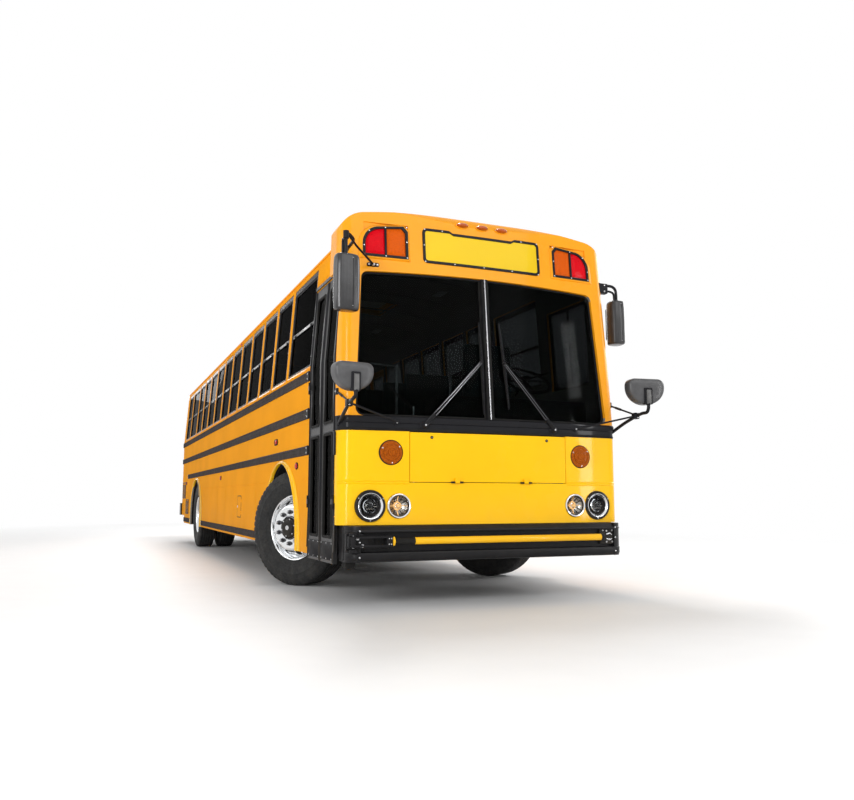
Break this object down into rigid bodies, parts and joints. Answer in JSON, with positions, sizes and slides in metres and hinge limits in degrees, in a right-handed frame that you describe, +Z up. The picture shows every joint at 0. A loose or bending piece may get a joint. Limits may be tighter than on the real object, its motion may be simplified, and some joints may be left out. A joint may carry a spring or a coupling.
{
  "type": "school bus",
  "caption": "Yellow flat-front school bus with its engine at the rear, a folding entrance door ahead of the front wheels, mirrors on arms and a crossing arm on the bumper.",
  "frame": {"origin": "on the ground, in the middle of the plan, midway between the front mirrors and the rear bumper", "axes": "+Z up, the front faces -Y, +X is the bus's own left side; the entrance doors are on -X"},
  "size_m": [2.8367, 11.56, 3.1503],
  "materials": {
    "body_yellow": "gloss yellow enamel",
    "trim_black": "semi-gloss black enamel",
    "rail_grey": "satin dark grey enamel",
    "window_glass": "tinted safety glass",
    "tyre": "ribbed rubber",
    "polished_rim": "polished",
    "chrome": "bright",
    "lamp_lens": "clear coloured lens",
    "headlamp": "lens in a bright ring",
    "mirror_shell": "moulded dark grey",
    "arm_yellow": "glossy yellow tube",
    "sign_red": "reflective red",
    "floor_rubber": "ribbed black matting",
    "seat_vinyl": "dark teal vinyl",
    "seat_steel": "grey powder coat",
    "dash_plastic": "grained dark grey",
    "chassis_black": "satin black",
    "iron": "as cast",
    "hatch_white": "moulded off-white"
  },
  "bodies": {
    "bus_body": {"front_lower_panel": "body_yellow", "cowl_band": "trim_black", "front_cap": "body_yellow", "windshield": "window_glass", "windshield_post": "chrome", "right_side_wall": "body_yellow", "left_side_wall": "body_yellow", "roof": "body_yellow", "rear_wall": "body_yellow", "window_glass": "window_glass", "door_hinges": "trim_black", "front_bumper": "trim_black", "rear_bumper": "trim_black", "rub_rails": "rail_grey", "wheel_arch_trims": "body_yellow", "headlamps": "headlamp", "signal_lamps": "lamp_lens", "warning_lamps": "lamp_lens", "wipers": "trim_black", "rear_view_mirrors": "mirror_shell", "crossover_mirrors": "mirror_shell", "cabin_floor": "floor_rubber", "entrance_steps": "floor_rubber", "engine_deck": "floor_rubber", "seat_cushions": "seat_vinyl", "seat_backs": "seat_vinyl", "seat_frames": "seat_steel", "driver_seat": "seat_vinyl", "dashboard": "dash_plastic", "steering_wheel": "dash_plastic", "chassis_frame": "chassis_black", "frame_cross_members": "chassis_black", "front_axle": "chassis_black", "rear_axle": "iron", "engine_block": "iron", "fuel_tank": "chassis_black", "arm_bases": "trim_black"},
    "right_knuckle": {"right_knuckle": "iron"},
    "left_knuckle": {"left_knuckle": "iron"},
    "front_right_wheel": {"front_right_tyre": "tyre", "front_right_rim": "polished_rim"},
    "front_left_wheel": {"front_left_tyre": "tyre", "front_left_rim": "polished_rim"},
    "rear_right_wheels": {"rear_right_tyres": "tyre", "rear_right_rims": "polished_rim"},
    "rear_left_wheels": {"rear_left_tyres": "tyre", "rear_left_rims": "polished_rim"},
    "entrance_front_door": {"entrance_front_leaf": "trim_black", "entrance_front_leaf_glass": "window_glass"},
    "entrance_rear_door": {"entrance_rear_leaf": "trim_black", "entrance_rear_leaf_glass": "window_glass"},
    "emergency_exit": {"emergency_door": "body_yellow", "emergency_door_glass": "window_glass"},
    "engine_cover": {"engine_door": "body_yellow"},
    "front_cover": {"front_hatch": "body_yellow"},
    "crossing_gate": {"crossing_arm": "arm_yellow"},
    "stop_sign": {"stop_arm": "sign_red"},
    "front_roof_lid": {"front_roof_hatch": "hatch_white"},
    "rear_roof_lid": {"rear_roof_hatch": "hatch_white"}
  },
  "joints": [
    {"name": "front_right_steer", "type": "hinge", "parent": "bus_body", "child": "right_knuckle", "pos_m": [-0.9, -3.405, 0.527], "axis": [0, 0, 1], "range_deg": [-78, 12]},
    {"name": "front_left_steer", "type": "hinge", "parent": "bus_body", "child": "left_knuckle", "pos_m": [0.9, -3.405, 0.527], "axis": [0, 0, 1], "range_deg": [-78, 12]},
    {"name": "front_right_roll", "type": "hinge", "parent": "right_knuckle", "child": "front_right_wheel", "pos_m": [-1.03503, -3.49269, 0.527], "axis": [0.8387, 0.5446, 0], "continuous": true},
    {"name": "front_left_roll", "type": "hinge", "parent": "left_knuckle", "child": "front_left_wheel", "pos_m": [1.03503, -3.31731, 0.527], "axis": [0.8387, 0.5446, 0], "continuous": true},
    {"name": "rear_right_roll", "type": "hinge", "parent": "bus_body", "child": "rear_right_wheels", "pos_m": [-0.905, 3.207, 0.527], "axis": [1, 0, 0], "continuous": true},
    {"name": "rear_left_roll", "type": "hinge", "parent": "bus_body", "child": "rear_left_wheels", "pos_m": [0.905, 3.207, 0.527], "axis": [1, 0, 0], "continuous": true},
    {"name": "entrance_front_swing", "type": "hinge", "parent": "bus_body", "child": "entrance_front_door", "pos_m": [-1.229, -5.211, 1.4], "axis": [0, 0, 1], "range_deg": [0, 90]},
    {"name": "entrance_rear_swing", "type": "hinge", "parent": "bus_body", "child": "entrance_rear_door", "pos_m": [-1.229, -4.453, 1.4], "axis": [0, 0, 1], "range_deg": [-90, 0]},
    {"name": "emergency_swing", "type": "hinge", "parent": "bus_body", "child": "emergency_exit", "pos_m": [1.229, 0.353, 1.9], "axis": [0, 0, -1], "range_deg": [0, 100]},
    {"name": "engine_cover_swing", "type": "hinge", "parent": "bus_body", "child": "engine_cover", "pos_m": [0, 5.65, 1.437], "axis": [1, 0, 0], "range_deg": [0, 80]},
    {"name": "front_cover_swing", "type": "hinge", "parent": "bus_body", "child": "front_cover", "pos_m": [0, -5.4, 0.916], "axis": [1, 0, 0], "range_deg": [0, 95]},
    {"name": "crossing_gate_swing", "type": "hinge", "parent": "bus_body", "child": "crossing_gate", "pos_m": [-1.15, -5.482, 0.487], "axis": [0, 0, -1], "range_deg": [0, 90]},
    {"name": "stop_sign_swing", "type": "hinge", "parent": "bus_body", "child": "stop_sign", "pos_m": [1.274, -4.21, 1.665], "axis": [0, 0, -1], "range_deg": [0, 90]},
    {"name": "front_roof_lid_swing", "type": "hinge", "parent": "bus_body", "child": "front_roof_lid", "pos_m": [0, -2.428, 3.1343], "axis": [1, 0, 0], "range_deg": [0, 80]},
    {"name": "rear_roof_lid_swing", "type": "hinge", "parent": "bus_body", "child": "rear_roof_lid", "pos_m": [0, 2.272, 3.1343], "axis": [1, 0, 0], "range_deg": [0, 80]}
  ],
  "couplings": [
    {"joint": "front_left_steer", "follows": "front_right_steer", "ratio": 1},
    {"joint": "entrance_rear_swing", "follows": "entrance_front_swing", "ratio": -1}
  ]
}
